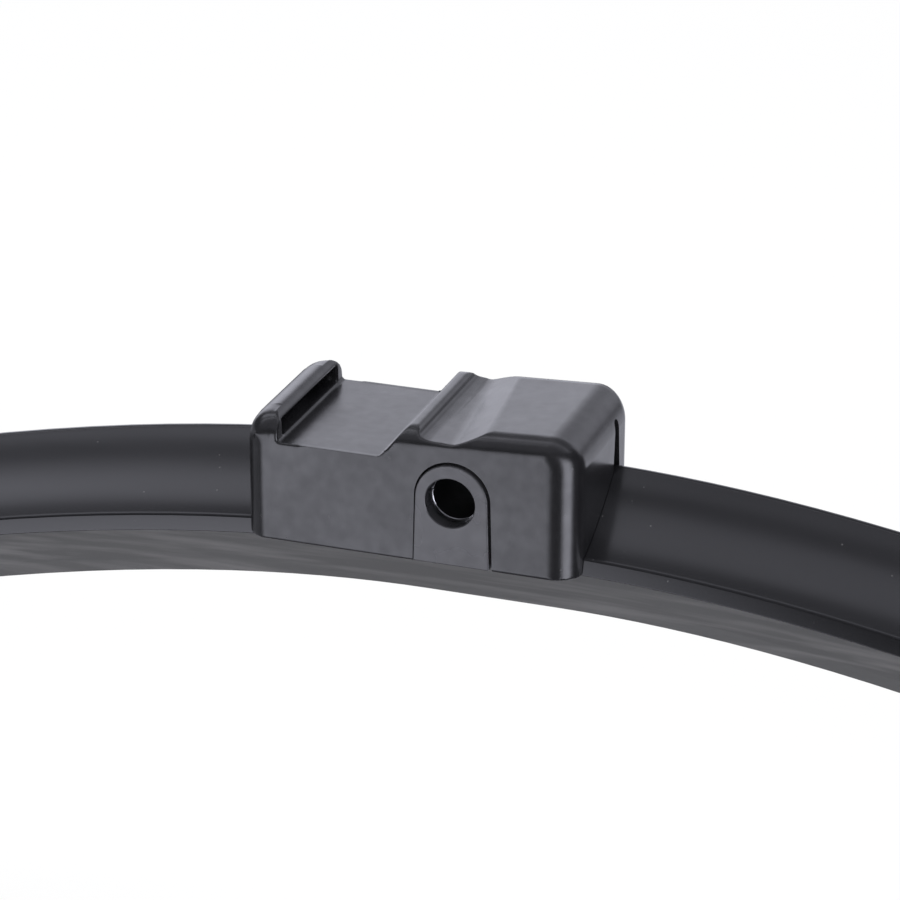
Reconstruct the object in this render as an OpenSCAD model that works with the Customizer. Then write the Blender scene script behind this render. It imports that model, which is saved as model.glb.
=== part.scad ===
// Beam wiper blade with a side-pin connector, in millimetres.
// The origin is the middle of the pivot bore. X runs along the blade, Y along the pivot pin,
// Z up and away from the glass.

/* [Blade] */
// Length of the blade along its curve
blade_length = 450; // [380:10:600]
// Radius of the free bow right beside the connector
bow_radius = 195; // [150:5:400]
// Distance from the pivot to the middle of the blade
blade_shift = 1.6; // [-10:0.1:10]
// Height of the pivot axis above the underside of the spoiler
pivot_height = 8; // [7:0.5:12]

/* [Spoiler] */
// Width of the spoiler at its foot
spoiler_width = 16.5; // [16:0.5:20]
// Height of the spoiler from its underside to the ridge
spoiler_height = 9; // [8:0.25:12]
// Height of the upright flange at each side of the foot
flange_height = 2.1; // [2:0.1:3]
// Distance of the ridge behind the middle of the blade
ridge_back = 4.6; // [3:0.1:5.5]
// Radius of the hollow windward ramp
ramp_radius = 46; // [35:1:90]
// Radius of the ridge
ridge_radius = 0.9; // [0.6:0.1:1.2]
// Thickness of the spoiler's walls round its air duct
spoiler_wall = 1.5; // [1.2:0.1:2]

/* [Rails] */
// Width of each spring rail
rail_width = 5; // [4:0.1:5.2]
// Thickness of each spring rail
rail_thickness = 0.9; // [0.7:0.05:1.1]
// Slot between the two rails, filled by the rubber's neck
rail_slot = 3; // [2:0.1:3.6]

/* [Rubber] */
// Depth of the rubber below the underside of the spoiler
rubber_depth = 8.6; // [7:0.1:10]
// Thickness of the wiping lip
lip_thickness = 0.8; // [0.6:0.1:1.2]
// Width of the tilting wedge at its top
wedge_width = 5.8; // [4.4:0.1:7]
// Thickness of the neck that lets the wedge tilt
neck_thickness = 1.3; // [0.9:0.1:1.8]

/* [Cover] */
// Reach of the cover from the pivot towards the lip end
cover_lip_reach = 26.2; // [24:0.1:32]
// Reach of the cover from the pivot towards the hump end
cover_hump_reach = 15.7; // [15.2:0.1:20]
// Reach of the cover beyond each side of the spoiler's foot
cover_flank = 2.65; // [2.55:0.05:4]
// Height of the strap tray above the pivot axis
tray_height = 4.7; // [4.2:0.1:7]
// Length of the strap tray along the blade
tray_length = 13; // [12:0.1:14]
// Thickness of the lip that ends the tray
stop_thickness = 4.5; // [4.2:0.1:6]
// Height of the lip above the tray
lip_height = 3.25; // [2.8:0.05:4]
// Height of the rib's crest above the tray
rib_height = 3.8; // [3.4:0.1:4.4]
// Rise of the hump above the tray
hump_height = 4.6; // [4.2:0.1:6]
// Height of the finger groove's floor above the tray
groove_height = 2.65; // [2.2:0.05:3]
// Width of the finger groove, from the rib to the flat of the hump
groove_width = 7.8; // [6.8:0.1:8.2]
// Angle of the ramp that rises from the tray to the rib
ramp_angle = 52; // [45:1:60]
// Width of the rib at its crest
rib_width = 1.8; // [1.7:0.1:2.4]
// Radius of the cover's upright corners
corner_radius = 2.85; // [2:0.05:3.5]
// Radius of the long top edges
edge_radius = 2; // [1.2:0.1:2.6]
// Radius between the top and the end faces
end_radius = 4; // [3:0.1:4.2]
// Radius of the rib's crest
crest_radius = 0.6; // [0.3:0.05:0.7]
// Thickness of the cover's walls
cover_wall = 1.4; // [1.2:0.05:1.5]

/* [Pivot] */
// Diameter of the hole in the carrier's ears
ear_bore = 6.2; // [6.1:0.05:6.6]
// Inside diameter of the steel pivot bush
bush_bore = 5.8; // [5.4:0.05:6]
// Outside diameter of the steel pivot bush
bush_diameter = 7.6; // [7.2:0.1:8]
// Radius of the arched ear round the pivot
ear_radius = 4.35; // [4.1:0.05:4.6]
// Thickness of the ear outside the pivot bush
ear_thickness = 2.4; // [2:0.1:2.8]
// Length of the bracket that grips the rails
bracket_length = 18; // [14:0.5:19]

/* [End caps] */
// Length of each end cap
cap_length = 19; // [16:1:26]
// Thickness of the cap's walls
cap_wall = 0.8; // [0.6:0.1:1]

/* [Fits] */
// Play between the rails and the slots that hold them
rail_play = 0.1; // [0.05:0.05:0.2]
// Play between the spoiler and the openings in the cover and caps
spoiler_play = 0.3; // [0.2:0.05:0.45]
// Play of the carrier inside the cover
carrier_play = 0.2; // [0.1:0.05:0.3]
// Gap round the ear in the cover's window
window_gap = 0.4; // [0.3:0.05:0.6]
// Play between the bush and the bracket's lugs
bush_play = 0.05; // [0.02:0.01:0.1]

/* [Hidden] */

plastic_grey = [0.19, 0.19, 0.2];
spoiler_black = [0.11, 0.11, 0.12];
rubber_grey = [0.24, 0.23, 0.22];
steel_grey = [0.62, 0.63, 0.65];

// Small overshoot that lets a cut pass a face
cut = 1;

// The bow: straight under the bracket, then with a curvature that fades to nothing at the tip,
// as it does in a blade that presses evenly on the glass
half_length = blade_length / 2;
straight_half = bracket_length / 2 - 1;
bow_length = half_length - straight_half;
bow_steps = 24;
tip_slope = bow_length / (3 * bow_radius) * 180 / PI;
function share_at(k) = 1 - sqrt(1 - k / bow_steps);
function slope_at(k) = tip_slope * (1 - pow(1 - share_at(k), 3));
function bow_hop(k) = let (slope = (slope_at(k) + slope_at(k + 1)) / 2)
    (share_at(k + 1) - share_at(k)) * bow_length * [cos(slope), -sin(slope)];
function bow_station(k, place) = [straight_half + share_at(k) * bow_length, place[0], place[1],
    sin(slope_at(k)), cos(slope_at(k))];

// Stations of the bow from tip to tip: distance from the middle, x, height, and the sine and
// cosine of the slope
bow_half = [for (k = 0, place = [straight_half, 0]; k <= bow_steps;
    place = place + (k < bow_steps ? bow_hop(k) : [0, 0]), k = k + 1) bow_station(k, place)];
bow = concat([for (k = [bow_steps:-1:0]) let (p = bow_half[k]) [-p[0], -p[1], p[2], -p[3], p[4]]],
    bow_half);
tip = bow_half[bow_steps];
function drop_near(x) = x < straight_half ? 0 : pow(x - straight_half, 2) / (2 * bow_radius);

// Heights across the blade, from the underside of the spoiler up
rail_bottom = 0.75;
rail_top = rail_bottom + rail_thickness;
rail_inner = rail_slot / 2;
rail_outer = rail_inner + rail_width;
head_width = 5.8;
head_height = 1.3;
head_top = rail_top + rail_play + head_height;
shoulder_width = 6.8;
shoulder_depth = 1.3;
neck_depth = 0.9;
lip_depth = 1.3;
claw_gap = 0.4;
foot_half = spoiler_width / 2;
flange_lean = 0.35;
back_step = 0.5;
ridge_from = 22;
ridge_to = 128;
ramp_sag = 0.5;
duct_floor = head_top + 1.1;

// Heights of the connector, measured from the pivot axis
blade_z = -pivot_height;
cover_bottom = blade_z;
cover_width = spoiler_width + 2 * cover_flank;
lip_x = -cover_lip_reach;
hump_x = cover_hump_reach;
tray_start = lip_x + stop_thickness;
tray_end = tray_start + tray_length;
lip_top = tray_height + lip_height;
crest_top = tray_height + rib_height;
hump_top = tray_height + hump_height;
groove_floor = tray_height + groove_height;
crest_x = tray_end + (crest_radius + (rib_height - crest_radius) * cos(ramp_angle))
    / sin(ramp_angle);
crease_x = crest_x - crest_radius + rib_width - 0.4;
hump_flat_end = hump_x - end_radius;
top_tilt = atan((hump_top - crest_top) / (hump_flat_end - crest_x));
hump_start = crease_x + groove_width;
hump_edge_top = crest_top + (hump_start - crest_x) * tan(top_tilt);
hump_rise_length = 4.2;
hump_skew = 6;
foot_fillet = 0.35;
stop_fillet = 1;
lip_radius = stop_thickness - stop_fillet - 0.1;
inner_half = cover_width / 2 - cover_wall;
groove_corner = 1.2;

// The carrier and the bracket inside the cover
plate_outer = inner_half - carrier_play;
bush_half = cover_width / 2 - ear_thickness;
plate_thickness = plate_outer - bush_half;
carrier_half_length = bracket_length / 2 + 2;
carrier_top = tray_height - cover_wall - carrier_play - 0.6;
ear_centre = [0.12, 0.3];
window_centre = ear_centre + [0.2, 0.2];
window_radius = ear_radius + window_gap;
window_flare = 0.25;
lug_seat = bush_half - carrier_play;
lug_thickness = 2.6;
lug_radius = bush_diameter / 2 + 1.1;
bracket_top = head_top + 1.5;
bore_chamfer = 0.2;
web_thickness = 1.4;

// Points of an arc in a plane, from one angle to another
function arc(centre, radius, from, to, steps) = [for (k = [0:steps])
    centre + radius * [cos(from + (to - from) * k / steps), sin(from + (to - from) * k / steps)]];

// Points of the short arc of a given radius between two points, with its centre to the right
// of the way from the first to the second
function hollow(a, b, radius, steps) =
    let (chord = b - a, reach = norm(chord), side = [chord[1], -chord[0]] / reach,
        centre = (a + b) / 2 + side * sqrt(radius * radius - reach * reach / 4),
        from = atan2(a[1] - centre[1], a[0] - centre[0]),
        turn = atan2(b[1] - centre[1], b[0] - centre[0]) - from)
    arc(centre, radius, from, from + (turn > 180 ? turn - 360 : turn < -180 ? turn + 360 : turn),
        steps);

// Turns a flat section into a bar that runs along X from one place to another
module bar(from, to) {
    translate([from, 0, 0]) rotate([90, 0, 90]) linear_extrude(to - from) children();
}

// Turns a flat section into a slab that runs across the blade between two places in Y
module slab(from, to) {
    translate([0, to, 0]) rotate([90, 0, 0]) linear_extrude(to - from) children();
}

// Station of the bow at a distance from its middle
function station_at(distance) =
    let (next = [for (k = [1:len(bow) - 1]) if (bow[k][0] >= distance) k][0],
        a = bow[next - 1], b = bow[next])
    a + (b - a) * (distance - a[0]) / (b[0] - a[0]);

// Cuts a flat outline into triangles, one convex corner without points inside after another
function turn_of(a, b, c) = (b[0] - a[0]) * (c[1] - a[1]) - (b[1] - a[1]) * (c[0] - a[0]);
function holds(a, b, c, p) = turn_of(a, b, p) >= 0 && turn_of(b, c, p) >= 0
    && turn_of(c, a, p) >= 0;
function free_corner(section, left, k) =
    let (n = len(left), i = left[(k + n - 1) % n], j = left[k], m = left[(k + 1) % n],
        a = section[i], b = section[j], c = section[m])
    turn_of(a, b, c) > 0
        && len([for (q = left) if (q != i && q != j && q != m && holds(a, b, c, section[q])) q])
            == 0;
function triangles(section, left) =
    len(left) == 3 ? [left]
    : let (n = len(left), k = [for (k = [0:n - 1]) if (free_corner(section, left, k)) k][0])
        concat([[left[(k + n - 1) % n], left[k], left[(k + 1) % n]]],
            triangles(section, [for (j = [0:n - 1]) if (j != k) left[j]]));

// Sweeps a section, given as its points in turn, along the bow between two distances
module sweep(section, from, to) {
    path = concat([station_at(from)], [for (p = bow) if (p[0] > from && p[0] < to) p],
        [station_at(to)]);
    count = len(section);
    last = len(path) - 1;
    cap = triangles(section, [for (j = [0:count - 1]) j]);
    polyhedron(
        points = [for (p = path, q = section)
            [p[1] + q[1] * p[3], q[0], p[2] + q[1] * p[4]]],
        faces = concat(
            cap, [for (f = cap) [for (j = [2:-1:0]) last * count + f[j]]],
            [for (k = [0:last - 1], j = [0:count - 1]) let (next = (j + 1) % count)
                [k * count + j, (k + 1) * count + j, (k + 1) * count + next,
                    k * count + next]]),
        convexity = 8);
}

// Puts something drawn about the blade's middle at its place under the pivot
module on_blade() {
    translate([blade_shift, 0, blade_z]) children();
}

// Outline of the spoiler from its back foot round to its front foot: upright flanges, hollow
// ramp, round ridge and steep back, grown outwards by a clearance
function spoiler_skin(grow) =
    let (half = foot_half + grow, top = flange_height + grow,
        ridge = [ridge_back, spoiler_height - ridge_radius],
        crown = arc(ridge, ridge_radius + grow, ridge_from, ridge_to, 8))
    concat(
        [[half, -grow], [half - flange_lean, top], [half - flange_lean - back_step, top + 0.3]],
        [for (k = [0:7]) crown[k]],
        hollow(crown[8], [-half + flange_lean, top], ramp_radius, 12),
        [[-half, -grow]]);

module spoiler_outline(grow) {
    polygon(spoiler_skin(grow));
}

// Half widths and heights of the room for the rails and the rubber in a foot
slot_half = rail_outer + rail_play;
slot_floor = rail_bottom - rail_play;
slot_top = rail_top + rail_play;
room_half = shoulder_width / 2 + claw_gap;
room_top = head_top + rail_play;

// Section of the spoiler, open below for the rails and the rubber, with its air duct above
function spoiler_section() =
    let (ramp_foot = -foot_half + flange_lean, back_foot = -ramp_foot - back_step,
        ramp_tilt = atan((spoiler_height - flange_height) / (ridge_back - ramp_foot)),
        depth = spoiler_wall + ramp_sag, rise = duct_floor - flange_height,
        back_lean = (back_foot - ridge_back - ridge_radius) / (spoiler_height - flange_height))
    concat([[room_half, 0]], spoiler_skin(0), [
        [-room_half, 0], [-room_half, slot_floor], [-slot_half, slot_floor],
        [-slot_half, slot_top], [-room_half, slot_top], [-room_half, room_top],
        [ramp_foot + rise / tan(ramp_tilt) + depth / sin(ramp_tilt), duct_floor],
        [ridge_back, flange_height + (ridge_back - ramp_foot) * tan(ramp_tilt)
            - depth / cos(ramp_tilt)],
        [back_foot - rise * back_lean - spoiler_wall, duct_floor],
        [room_half, room_top], [room_half, slot_top], [slot_half, slot_top],
        [slot_half, slot_floor], [room_half, slot_floor]]);

function rail_section(left) = [[left, rail_bottom], [left + rail_width, rail_bottom],
    [left + rail_width, rail_top], [left, rail_top]];

// Half of the rubber's outline, from the top of its head down to the edge of the lip
function rubber_half() =
    let (neck = rail_inner - rail_play, groove_top = rail_top + rail_play / 2,
        groove_bottom = rail_bottom - rail_play / 2,
        shoulder = groove_bottom - shoulder_depth, wedge = shoulder - neck_depth)
    [[0, head_top], [head_width / 2 - 0.5, head_top], [head_width / 2, head_top - 0.5],
        [head_width / 2, groove_top], [neck, groove_top], [neck, groove_bottom],
        [shoulder_width / 2, groove_bottom], [shoulder_width / 2, shoulder + 0.5],
        [shoulder_width / 2 - 0.5, shoulder], [neck_thickness / 2 + 0.3, shoulder],
        [neck_thickness / 2, shoulder - 0.3], [neck_thickness / 2, wedge + 0.3],
        [neck_thickness / 2 + 0.3, wedge], [wedge_width / 2 - 0.4, wedge],
        [wedge_width / 2, wedge - 0.4], [wedge_width / 2 - 0.1, wedge - 0.9],
        [lip_thickness / 2 + 0.25, -rubber_depth + lip_depth + 0.5],
        [lip_thickness / 2, -rubber_depth + lip_depth], [lip_thickness / 2, -rubber_depth]];

function rubber_section() =
    let (half = rubber_half())
    concat([for (q = half) [-q[0], q[1]]], [for (k = [len(half) - 1:-1:1]) half[k]]);

// Side view of the cover: lip, tray, ramp up to the rib, and hump down to the end face
module cover_side() {
    polygon(concat(
        [[hump_x, cover_bottom]],
        arc([hump_flat_end, hump_top - end_radius], end_radius, 0, 90, 12),
        arc([crest_x, crest_top - crest_radius], crest_radius, 90, 90 + ramp_angle, 6),
        [[tray_end, tray_height], [tray_start + foot_fillet, tray_height],
            [tray_start, tray_height + foot_fillet]],
        arc([tray_start - stop_fillet, lip_top - stop_fillet], stop_fillet, 0, 90, 8),
        arc([lip_x + lip_radius, lip_top - lip_radius], lip_radius, 90, 180, 12),
        [[lip_x, cover_bottom]]));
}

// End view of the cover with its round long top edges, up to a given top
module cover_front(top) {
    half = cover_width / 2;
    polygon(concat([[-half, cover_bottom - 3 * cut], [half, cover_bottom - 3 * cut]],
        arc([half - edge_radius, top - edge_radius], edge_radius, 0, 90, 10),
        arc([-half + edge_radius, top - edge_radius], edge_radius, 90, 180, 10)));
}

// The long top edges: level over the lip, and following the tilted top over rib and hump
module cover_edges() {
    middle = tray_start + tray_length / 2;
    bar(lip_x - cut, middle + cut) cover_front(lip_top);
    translate([crest_x, 0, crest_top]) rotate([0, -top_tilt, 0])
        translate([-crest_x, 0, -crest_top])
            bar(middle - cut, hump_x + 3 * cut) cover_front(crest_top);
}

// Plan of the cover, with its round upright corners
module cover_plan() {
    half = cover_width / 2;
    r = corner_radius;
    for (x = [lip_x + r, hump_x - r], y = [-half + r, half - r])
        translate([x, y]) circle(r, $fn = 64);
    translate([lip_x, -half + r]) square([hump_x - lip_x, cover_width - 2 * r]);
    translate([lip_x + r, -half]) square([hump_x - lip_x - 2 * r, cover_width]);
}

// Plan of the finger groove beside the rib, whose front end turns outwards in a quarter circle
module groove_plan() {
    left = crease_x - crest_radius;
    reach = groove_width + 4;
    front = cover_width / 2 - groove_corner - 0.2;
    translate([left, -front]) square([reach, front + cover_width]);
    translate([left + groove_corner, -cover_width]) square([reach, cover_width]);
    translate([left + groove_corner, -front]) circle(groove_corner, $fn = 48);
}

// Side view of the groove beside the rib: upright rib side with a round crest
module groove_rib_side() {
    crest = crest_top + (crease_x - crest_x) * tan(top_tilt);
    polygon(concat([[crease_x, groove_floor]],
        arc([crease_x - crest_radius, crest - crest_radius], crest_radius, 0, 90, 6),
        [[crease_x - crest_radius, hump_top + cut], [hump_start + 3, hump_top + cut],
            [hump_start + 3, groove_floor]]));
}

// Side view of the groove beside the hump: an S-shaped rise to the hump's edge
module groove_hump_side() {
    rise = hump_edge_top - groove_floor;
    radius = (pow(hump_rise_length, 2) + pow(rise, 2)) / (4 * rise);
    turn = 2 * atan(rise / hump_rise_length);
    foot = hump_start - hump_rise_length;
    polygon(concat(
        [[hump_start - 2 * groove_width, groove_floor - cut], [foot, groove_floor - cut]],
        arc([foot, groove_floor + radius], radius, -90, -90 + turn, 8),
        arc([hump_start, hump_edge_top - radius], radius, 90 + turn, 90, 8),
        [[hump_start, hump_top + 2 * cut], [hump_start - 2 * groove_width, hump_top + 2 * cut]]));
}

// Finger groove between the rib and the hump, whose rise is skewed across the cover
module groove_cut() {
    intersection() {
        translate([0, 0, groove_floor - cut]) linear_extrude(hump_top - groove_floor + 3 * cut)
            groove_plan();
        slab(-cover_width, cover_width) groove_rib_side();
        translate([hump_start, 0, 0]) rotate([0, 0, hump_skew]) translate([-hump_start, 0, 0])
            slab(-cover_width, cover_width) groove_hump_side();
    }
}

// Room inside the cover, a wall's thickness below its outer faces
module cover_room() {
    wall = cover_wall;
    ceiling = tray_height - wall;
    lip_core = lip_top - 2 * wall;
    slab(-inner_half, inner_half) polygon([
        [lip_x + wall, cover_bottom - cut], [lip_x + wall, lip_core],
        [tray_start - wall, lip_core], [tray_start - wall, ceiling],
        [tray_end + 0.5 * wall, ceiling], [crest_x + 0.5 * wall, groove_floor - wall],
        [hump_start - wall, groove_floor - wall], [hump_start + wall, hump_top - wall],
        [hump_x - end_radius, hump_top - wall], [hump_x - wall, hump_top - end_radius],
        [hump_x - wall, cover_bottom - cut]]);
}

// Arched window for the ear, open at the foot of the cover, with slightly flared sides
module window_outline() {
    translate(window_centre) circle(window_radius, $fn = 96);
    translate(window_centre) polygon([[-window_radius, 0], [window_radius, 0],
        [window_radius + window_flare, cover_bottom - 2 * cut],
        [-window_radius - window_flare, cover_bottom - 2 * cut]]);
}

// Opening in an end wall: the spoiler's outline with play, open at the foot, and the tall
// slit above the ridge that narrows towards its round top
module end_opening(x) {
    drop = drop_near(abs(x - blade_shift));
    slit_foot = 1.3;
    slit_head = 0.35;
    slit_top = hump_top - edge_radius + 0.4;
    translate([0, blade_z - drop]) {
        spoiler_outline(spoiler_play);
        translate([-foot_half - spoiler_play, -2 * cut])
            square([spoiler_width + 2 * spoiler_play, 2 * cut]);
    }
    if (x > 0) {
        translate([ridge_back, slit_top - slit_head]) circle(slit_head, $fn = 24);
        polygon([[ridge_back - slit_foot, blade_z + spoiler_height - 1.2],
            [ridge_back + slit_foot, blade_z + spoiler_height - 1.2],
            [ridge_back + slit_head, slit_top - slit_head],
            [ridge_back - slit_head, slit_top - slit_head]]);
    }
}

// Stiffening ribs under the tray
module cover_ribs() {
    rib_thickness = 1;
    foot = blade_z + spoiler_height - 1;
    for (y = [-inner_half / 2, 0])
        translate([lip_x + cover_wall / 2, y - rib_thickness / 2, foot])
            cube([-carrier_half_length - lip_x - cover_wall, rib_thickness,
                tray_height - cover_wall / 2 - foot]);
}

module connector_cover() {
    color(plastic_grey) difference() {
        union() {
            difference() {
                intersection() {
                    slab(-cover_width, cover_width) cover_side();
                    cover_edges();
                    translate([0, 0, cover_bottom])
                        linear_extrude(hump_top - cover_bottom + cut) cover_plan();
                }
                groove_cut();
                cover_room();
            }
            cover_ribs();
        }
        slab(-cover_width, cover_width) window_outline();
        bar(lip_x - cut, lip_x + cover_wall + cut) end_opening(lip_x);
        bar(hump_x - cover_wall - cut, hump_x + cut) end_opening(hump_x);
    }
}

// Arched ear that fills the cover's window
module ear_outline() {
    translate(ear_centre) circle(ear_radius, $fn = 96);
    translate([ear_centre[0] - ear_radius, cover_bottom])
        square([2 * ear_radius, ear_centre[1] - cover_bottom]);
}

// Moulded carrier: two plates with ears outside the bracket, joined by a web at each end
module connector_carrier() {
    length = 2 * carrier_half_length;
    web_bottom = blade_z + head_top + rail_play + 0.3;
    foot = blade_z + 0.2;
    color(plastic_grey) difference() {
        union() {
            for (side = [-1, 1])
                translate([-carrier_half_length, side > 0 ? bush_half : -plate_outer, foot])
                    cube([length, plate_thickness, carrier_top - foot]);
            slab(bush_half, cover_width / 2) ear_outline();
            slab(-cover_width / 2, -bush_half) ear_outline();
            for (x = [-carrier_half_length, carrier_half_length - web_thickness])
                translate([x, -plate_outer, web_bottom])
                    cube([web_thickness, 2 * plate_outer, carrier_top - web_bottom]);
        }
        translate([0, -cover_width, 0]) rotate([-90, 0, 0])
            cylinder(h = 2 * cover_width, d = ear_bore, $fn = 96);
        for (side = [-1, 1])
            translate([0, side * cover_width / 2, 0]) rotate([90 * side, 0, 0])
                translate([0, 0, -0.01]) cylinder(h = bore_chamfer + 0.01,
                    d1 = ear_bore + 2 * bore_chamfer, d2 = ear_bore, $fn = 96);
    }
}

// Steel bush that turns on the arm's side pin
module pivot_bush() {
    color(steel_grey) translate([0, -bush_half, 0]) rotate([-90, 0, 0]) difference() {
        cylinder(h = 2 * bush_half, d = bush_diameter, $fn = 96);
        translate([0, 0, -cut]) cylinder(h = 2 * bush_half + 2 * cut, d = bush_bore, $fn = 96);
    }
}

// Cast bracket: jaws that grip the rails, and two lugs that carry the bush
module rail_bracket() {
    jaw_floor = rail_bottom - rail_play - 0.9;
    color(steel_grey) difference() {
        union() {
            translate([0, 0, blade_z]) bar(-bracket_length / 2, bracket_length / 2)
                translate([-lug_seat, jaw_floor])
                    square([2 * lug_seat, bracket_top - jaw_floor]);
            for (side = [-1, 1]) {
                inner = side > 0 ? lug_seat - lug_thickness : -lug_seat;
                slab(inner, inner + lug_thickness) {
                    circle(lug_radius, $fn = 96);
                    translate([-lug_radius, blade_z + bracket_top - 1])
                        square([2 * lug_radius, -blade_z - bracket_top + 1]);
                }
            }
        }
        translate([0, 0, blade_z]) bar(-bracket_length, bracket_length) {
            translate([-slot_half, rail_bottom - rail_play / 2])
                square([2 * slot_half, rail_thickness + rail_play]);
            translate([-room_half, jaw_floor - cut])
                square([2 * room_half, room_top - jaw_floor + cut]);
        }
        translate([0, -cover_width, 0]) rotate([-90, 0, 0])
            cylinder(h = 2 * cover_width, d = bush_diameter + 2 * bush_play, $fn = 96);
    }
}

// Spring rails that stop short of the closed ends of the caps
rail_end = half_length - cap_wall - 0.5;

module rail_front() {
    color(steel_grey) on_blade() sweep(rail_section(-rail_outer), -rail_end, rail_end);
}

module rail_rear() {
    color(steel_grey) on_blade() sweep(rail_section(rail_inner), -rail_end, rail_end);
}

// The rubber ends just before the closed ends of the caps
rubber_end = half_length - cap_wall - 0.3;

module wiper_rubber() {
    color(rubber_grey) on_blade() sweep(rubber_section(), -rubber_end, rubber_end);
}

// A spoiler runs from inside the cover's end wall to inside the end cap
spoiler_end = half_length - cap_length / 2;

module spoiler_left() {
    color(spoiler_black) on_blade()
        sweep(spoiler_section(), -spoiler_end, lip_x + cover_wall + 6.5 - blade_shift);
}

module spoiler_right() {
    color(spoiler_black) on_blade()
        sweep(spoiler_section(), hump_x - cover_wall - 2 - blade_shift, spoiler_end);
}

// End cap: a closed shell round the spoiler's end, with a rounded tip seen from the side
// and from above
module end_cap() {
    length = cap_length;
    grow = spoiler_play + cap_wall;
    outer_half = foot_half + grow;
    top = spoiler_height + grow;
    tip_round = 6;
    translate([tip[1], 0, tip[2]]) rotate([0, tip_slope, 0])
        difference() {
            intersection() {
                bar(-length, 0) spoiler_outline(grow);
                slab(-outer_half - cut, outer_half + cut) polygon(concat(
                    [[-length - cut, -grow - cut], [0, -grow - cut]],
                    arc([-tip_round, top - tip_round], tip_round, 0, 90, 10),
                    [[-length - cut, top]]));
                translate([0, 0, -grow - cut]) linear_extrude(top + grow + 2 * cut)
                    polygon(concat([[-length - cut, -outer_half]],
                        arc([-tip_round, -outer_half + tip_round], tip_round, -90, 0, 10),
                        arc([-tip_round, outer_half - tip_round], tip_round, 0, 90, 10),
                        [[-length - cut, outer_half]]));
            }
            bar(-length - cut, -length / 2 + 0.5) spoiler_outline(spoiler_play);
            bar(-length - cut, -cap_wall) {
                translate([-slot_half, slot_floor])
                    square([2 * slot_half, slot_top - slot_floor]);
                translate([-room_half, -grow - cut])
                    square([2 * room_half, room_top + grow + cut]);
            }
        }
}

module end_cap_right() {
    color(plastic_grey) on_blade() end_cap();
}

module end_cap_left() {
    color(plastic_grey) on_blade() mirror([1, 0, 0]) end_cap();
}

connector_cover();
connector_carrier();
pivot_bush();
rail_bracket();
rail_front();
rail_rear();
wiper_rubber();
spoiler_left();
spoiler_right();
end_cap_left();
end_cap_right();
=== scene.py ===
"""Beam wiper blade with a side-pin connector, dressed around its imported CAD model.

Sizes in the classes are millimetres in the frame of the CAD model: the origin is the middle of
the pivot bore, X runs along the blade, Y along the bore and Z up.
"""

import logging
import math
from dataclasses import dataclass
from enum import Enum
from typing import Callable, Iterable, Sequence

import bmesh
import bpy
from bmesh.types import BMEdge, BMesh, BMVert
from mathutils import Matrix, Vector


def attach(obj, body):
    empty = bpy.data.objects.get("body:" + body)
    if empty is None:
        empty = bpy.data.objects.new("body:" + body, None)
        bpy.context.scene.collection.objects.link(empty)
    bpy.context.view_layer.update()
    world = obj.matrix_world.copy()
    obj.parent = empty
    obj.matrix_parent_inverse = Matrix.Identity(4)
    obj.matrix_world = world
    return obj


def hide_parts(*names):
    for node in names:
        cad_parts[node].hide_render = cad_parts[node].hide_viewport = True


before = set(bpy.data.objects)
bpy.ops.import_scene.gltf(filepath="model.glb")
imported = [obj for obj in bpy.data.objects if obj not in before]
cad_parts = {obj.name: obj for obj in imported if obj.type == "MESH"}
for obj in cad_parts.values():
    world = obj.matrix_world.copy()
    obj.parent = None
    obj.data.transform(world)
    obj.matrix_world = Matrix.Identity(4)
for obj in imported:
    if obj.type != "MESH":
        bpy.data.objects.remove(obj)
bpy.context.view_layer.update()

LOG = logging.getLogger("wiper_blade")
MM = 0.001
# Millimetres below which two places count as one
NEAR = 1e-4
# Millimetres that keep two faces of a cut apart
LIFT = 0.01
# A step of one along each axis
UNIT = {name: Vector([float(name == each) for each in "XYZ"]) for name in "XYZ"}
Point = tuple[float, float]
Tree = bpy.types.NodeTree
Socket = bpy.types.NodeSocket


class Plane(Enum):
    """The flat plane that an outline is drawn in: its two axes and the one square to it."""

    SIDE = "XZY"
    END = "YZX"
    PLAN = "XYZ"


class Cut(Enum):
    """How a second solid changes the first one."""

    REMOVE = "DIFFERENCE"
    KEEP = "INTERSECT"


# Materials


def shade(code: str) -> tuple[float, float, float, float]:
    """Turns an sRGB hex colour into the linear colour that a shader takes.

    Args:
        code: Colour as six hex digits.

    Returns:
        Red, green, blue and an alpha of one.
    """
    parts = [int(code[k : k + 2], 16) / 255 for k in (0, 2, 4)]
    linear = [c / 12.92 if c <= 0.04045 else ((c + 0.055) / 1.055) ** 2.4 for c in parts]
    return linear[0], linear[1], linear[2], 1.0


def add_node(
    tree: Tree, kind: str, settings: dict[str, object] | None = None,
    inputs: dict[str | int, object] | None = None,
) -> bpy.types.Node:
    """Adds a node with its settings, values and links.

    Args:
        tree: Node tree that the node goes into.
        kind: Blender's name of the node type.
        settings: Attributes of the node.
        inputs: For each input, a value, or an output socket to link to it.

    Returns:
        The new node.
    """
    node = tree.nodes.new(kind)
    for name, value in (settings or {}).items():
        setattr(node, name, value)
    for key, value in (inputs or {}).items():
        socket = node.inputs[key]
        if isinstance(value, Socket):
            tree.links.new(value, socket)
        else:
            socket.default_value = value
    return node


def reckon(tree: Tree, operation: str, *values: Socket | float) -> Socket:
    """Adds one step of arithmetic and returns the socket with its result."""
    found = add_node(tree, "ShaderNodeMath", {"operation": operation}, dict(enumerate(values)))
    return found.outputs[0]


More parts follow.
